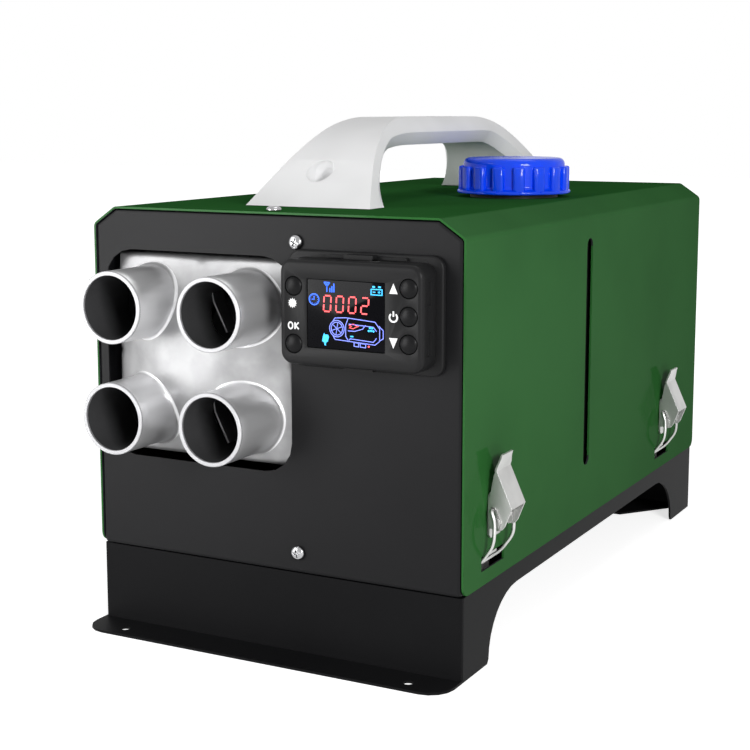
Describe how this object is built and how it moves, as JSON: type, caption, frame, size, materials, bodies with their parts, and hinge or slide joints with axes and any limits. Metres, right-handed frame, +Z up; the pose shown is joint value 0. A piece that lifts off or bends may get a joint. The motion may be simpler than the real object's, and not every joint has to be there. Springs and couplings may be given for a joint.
{
  "type": "diesel air heater",
  "caption": "Portable diesel air heater: green latched case on a black stand, domed multi-outlet hot air manifold, control panel, carrying handle and blue fuel cap.",
  "frame": {"origin": "middle of the footprint, on the floor", "axes": "+X to the right seen from the front, +Y from the outlets to the rear, +Z up"},
  "size_m": [0.276, 0.4778, 0.3103],
  "materials": {
    "case_green": "semi-gloss powder coat",
    "panel_black": "fine textured powder coat",
    "cast_aluminium": "fine blasted",
    "latch_steel": "bright zinc plate",
    "screw_chrome": "polished",
    "handle_grey": "satin moulded plastic",
    "cap_blue": "gloss moulded plastic",
    "control_black": "satin moulded plastic",
    "screen": "display glass",
    "rubber_black": "matt rubber",
    "nylon_black": "glass-filled nylon",
    "tank_plastic": "blow-moulded polyethylene",
    "board_green": "circuit board lacquer",
    "bare_steel": "bare steel"
  },
  "bodies": {
    "body": {"base_frame": "panel_black", "case_shell": "case_green", "front_panel": "panel_black", "rear_panel": "panel_black", "divider_panel": "panel_black", "handle": "handle_grey", "intake_grille": "nylon_black", "power_socket": "control_black", "controller_bracket": "control_black", "controller_bezel": "control_black", "controller_board": "board_green", "lcd_screen": "screen", "filler_neck": "nylon_black", "fuel_tank": "tank_plastic", "fuel_pump": "bare_steel", "pump_clamp": "rubber_black", "fuel_filter": "nylon_black", "fuel_hose": "rubber_black", "burner_hose": "rubber_black", "air_manifold": "cast_aluminium", "heater_casing": "nylon_black", "heater_cradle": "panel_black", "heat_exchanger": "cast_aluminium", "burner_tube": "bare_steel", "glow_plug": "bare_steel", "blower_motor": "bare_steel", "control_unit": "cast_aluminium", "exhaust_pipe": "bare_steel", "intake_pipe": "rubber_black", "panel_screw_top": "screw_chrome", "panel_screw_bottom": "screw_chrome", "top_screw": "screw_chrome", "handle_screw_front": "screw_chrome", "handle_screw_rear": "screw_chrome", "latch_plate_front_right": "latch_steel", "latch_hook_front_right": "latch_steel", "latch_plate_rear_right": "latch_steel", "latch_hook_rear_right": "latch_steel", "latch_plate_front_left": "latch_steel", "latch_hook_front_left": "latch_steel", "latch_plate_rear_left": "latch_steel", "latch_hook_rear_left": "latch_steel"},
    "cap_seal": {"cap_seal": "rubber_black"},
    "fuel_cap": {"fuel_cap": "cap_blue"},
    "fan_rotor": {"motor_shaft": "bare_steel", "hot_air_fan": "nylon_black", "combustion_fan": "nylon_black"},
    "button_menu": {"button_menu": "rubber_black"},
    "button_ok": {"button_ok": "rubber_black"},
    "button_up": {"button_up": "rubber_black"},
    "button_power": {"button_power": "rubber_black"},
    "button_down": {"button_down": "rubber_black"},
    "lever_front_right": {"latch_lever_front_right": "latch_steel"},
    "bail_front_right": {"latch_bail_front_right": "latch_steel"},
    "lever_rear_right": {"latch_lever_rear_right": "latch_steel"},
    "bail_rear_right": {"latch_bail_rear_right": "latch_steel"},
    "lever_front_left": {"latch_lever_front_left": "latch_steel"},
    "bail_front_left": {"latch_bail_front_left": "latch_steel"},
    "lever_rear_left": {"latch_lever_rear_left": "latch_steel"},
    "bail_rear_left": {"latch_bail_rear_left": "latch_steel"}
  },
  "joints": [
    {"name": "cap_lift", "type": "slide", "parent": "body", "child": "cap_seal", "axis": [0, 0, 1], "range_m": [0, 0.045]},
    {"name": "cap_turn", "type": "hinge", "parent": "cap_seal", "child": "fuel_cap", "pos_m": [0.061, 0.0101, 0.2588], "axis": [0, 0, 1], "range_deg": [0, 540]},
    {"name": "fan_spin", "type": "hinge", "parent": "body", "child": "fan_rotor", "pos_m": [-0.0497, 0.1271, 0.1689], "axis": [0, 1, 0], "continuous": true},
    {"name": "button_menu_press", "type": "slide", "parent": "body", "child": "button_menu", "axis": [0, 1, 0], "range_m": [0, 0.0008], "stiffness_N_per_m": 300},
    {"name": "button_ok_press", "type": "slide", "parent": "body", "child": "button_ok", "axis": [0, 1, 0], "range_m": [0, 0.0008], "stiffness_N_per_m": 300},
    {"name": "button_up_press", "type": "slide", "parent": "body", "child": "button_up", "axis": [0, 1, 0], "range_m": [0, 0.0008], "stiffness_N_per_m": 300},
    {"name": "button_power_press", "type": "slide", "parent": "body", "child": "button_power", "axis": [0, 1, 0], "range_m": [0, 0.0008], "stiffness_N_per_m": 300},
    {"name": "button_down_press", "type": "slide", "parent": "body", "child": "button_down", "axis": [0, 1, 0], "range_m": [0, 0.0008], "stiffness_N_per_m": 300},
    {"name": "lever_front_right_open", "type": "hinge", "parent": "body", "child": "lever_front_right", "pos_m": [0.128, -0.1609, 0.0854], "axis": [0, 1, 0], "range_deg": [0, 125]},
    {"name": "bail_front_right_swing", "type": "hinge", "parent": "lever_front_right", "child": "bail_front_right", "pos_m": [0.1264, -0.1609, 0.0925], "axis": [0, 1, 0], "range_deg": [-150, 0]},
    {"name": "lever_rear_right_open", "type": "hinge", "parent": "body", "child": "lever_rear_right", "pos_m": [0.128, 0.1541, 0.0854], "axis": [0, 1, 0], "range_deg": [0, 125]},
    {"name": "bail_rear_right_swing", "type": "hinge", "parent": "lever_rear_right", "child": "bail_rear_right", "pos_m": [0.1264, 0.1541, 0.0925], "axis": [0, 1, 0], "range_deg": [-150, 0]},
    {"name": "lever_front_left_open", "type": "hinge", "parent": "body", "child": "lever_front_left", "pos_m": [-0.128, -0.1609, 0.0854], "axis": [0, -1, 0], "range_deg": [0, 125]},
    {"name": "bail_front_left_swing", "type": "hinge", "parent": "lever_front_left", "child": "bail_front_left", "pos_m": [-0.1264, -0.1609, 0.0925], "axis": [0, -1, 0], "range_deg": [-150, 0]},
    {"name": "lever_rear_left_open", "type": "hinge", "parent": "body", "child": "lever_rear_left", "pos_m": [-0.128, 0.1541, 0.0854], "axis": [0, -1, 0], "range_deg": [0, 125]},
    {"name": "bail_rear_left_swing", "type": "hinge", "parent": "lever_rear_left", "child": "bail_rear_left", "pos_m": [-0.1264, 0.1541, 0.0925], "axis": [0, -1, 0], "range_deg": [-150, 0]}
  ],
  "couplings": [
    {"joint": "bail_front_right_swing", "follows": "lever_front_right_open", "ratio": -1.2},
    {"joint": "bail_rear_right_swing", "follows": "lever_rear_right_open", "ratio": -1.2},
    {"joint": "bail_front_left_swing", "follows": "lever_front_left_open", "ratio": -1.2},
    {"joint": "bail_rear_left_swing", "follows": "lever_rear_left_open", "ratio": -1.2}
  ]
}
